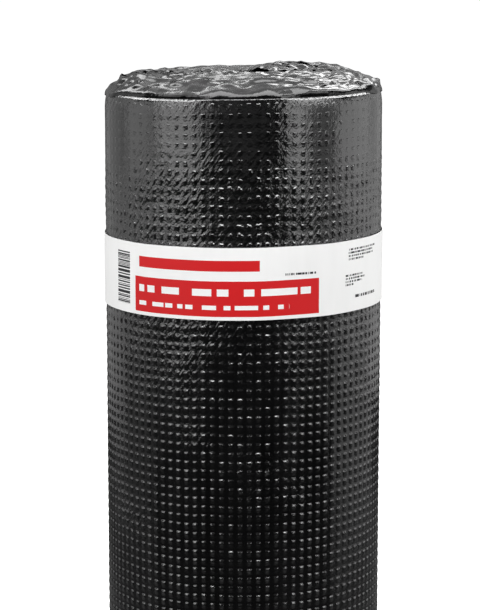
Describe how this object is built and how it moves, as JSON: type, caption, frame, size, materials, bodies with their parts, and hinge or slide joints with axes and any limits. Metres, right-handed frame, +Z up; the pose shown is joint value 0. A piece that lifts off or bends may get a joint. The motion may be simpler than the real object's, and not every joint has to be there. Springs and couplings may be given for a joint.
{
  "type": "roll of roofing felt",
  "caption": "Standing roll of black bituminous roofing sheet with an open bore, spiral turns on its ends, a crushed film edge on top and a plain paper band round it.",
  "frame": {"origin": "centre of the lower end, on the axis of the bore, on the floor that the roll stands on", "axes": "+Z up along the bore; -Y is the front of the roll, towards the middle of the label's red panel; the tail of the sheet is at the back, on +Y"},
  "size_m": [0.2406, 0.2426, 1.019],
  "materials": {
    "membrane": "black embossed film on bitumen, semi-gloss, crinkled",
    "label": "smooth white printed paper with a plain red panel"
  },
  "bodies": {
    "root": {"membrane_roll": "membrane", "label_band": "label"}
  },
  "joints": []
}
